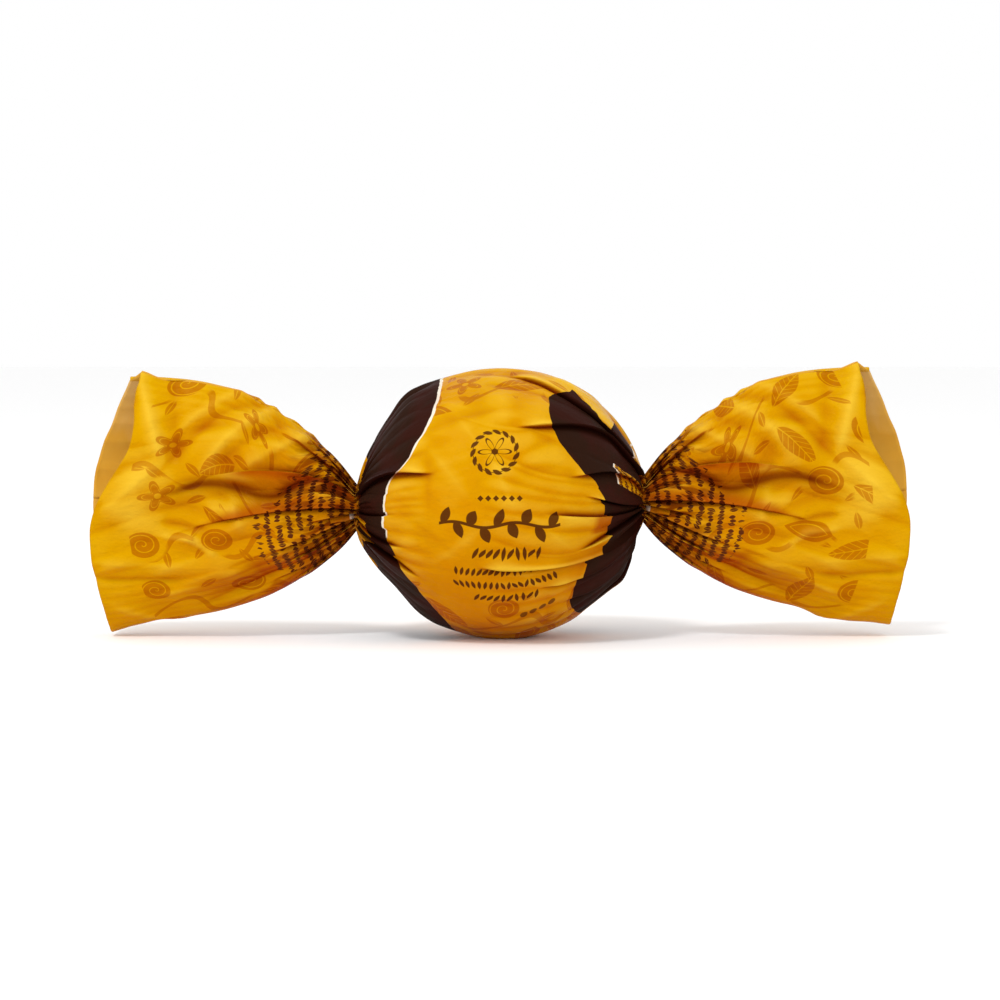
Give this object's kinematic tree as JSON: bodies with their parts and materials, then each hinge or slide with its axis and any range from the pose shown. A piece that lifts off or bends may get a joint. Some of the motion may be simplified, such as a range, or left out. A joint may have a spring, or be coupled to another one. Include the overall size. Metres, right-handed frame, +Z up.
{
  "type": "twist-wrapped chocolate truffle",
  "caption": "Round chocolate truffle shut in a thin printed film that is gathered into a twisted neck on each side and fans out into two flattened, open wings.",
  "frame": {"origin": "on the surface the truffle rests on, straight below the middle of the ball and of the whole length", "axes": "+X from the left wing to the right wing along the length, +Y away from the printed face, +Z up"},
  "size_m": [0.114, 0.0378, 0.0384],
  "materials": {
    "wrapper_film": "thin glossy yellow-orange sweet film with tone-on-tone print and dark brown side fields"
  },
  "bodies": {
    "root": {"wrapped_truffle": "wrapper_film"}
  },
  "joints": []
}
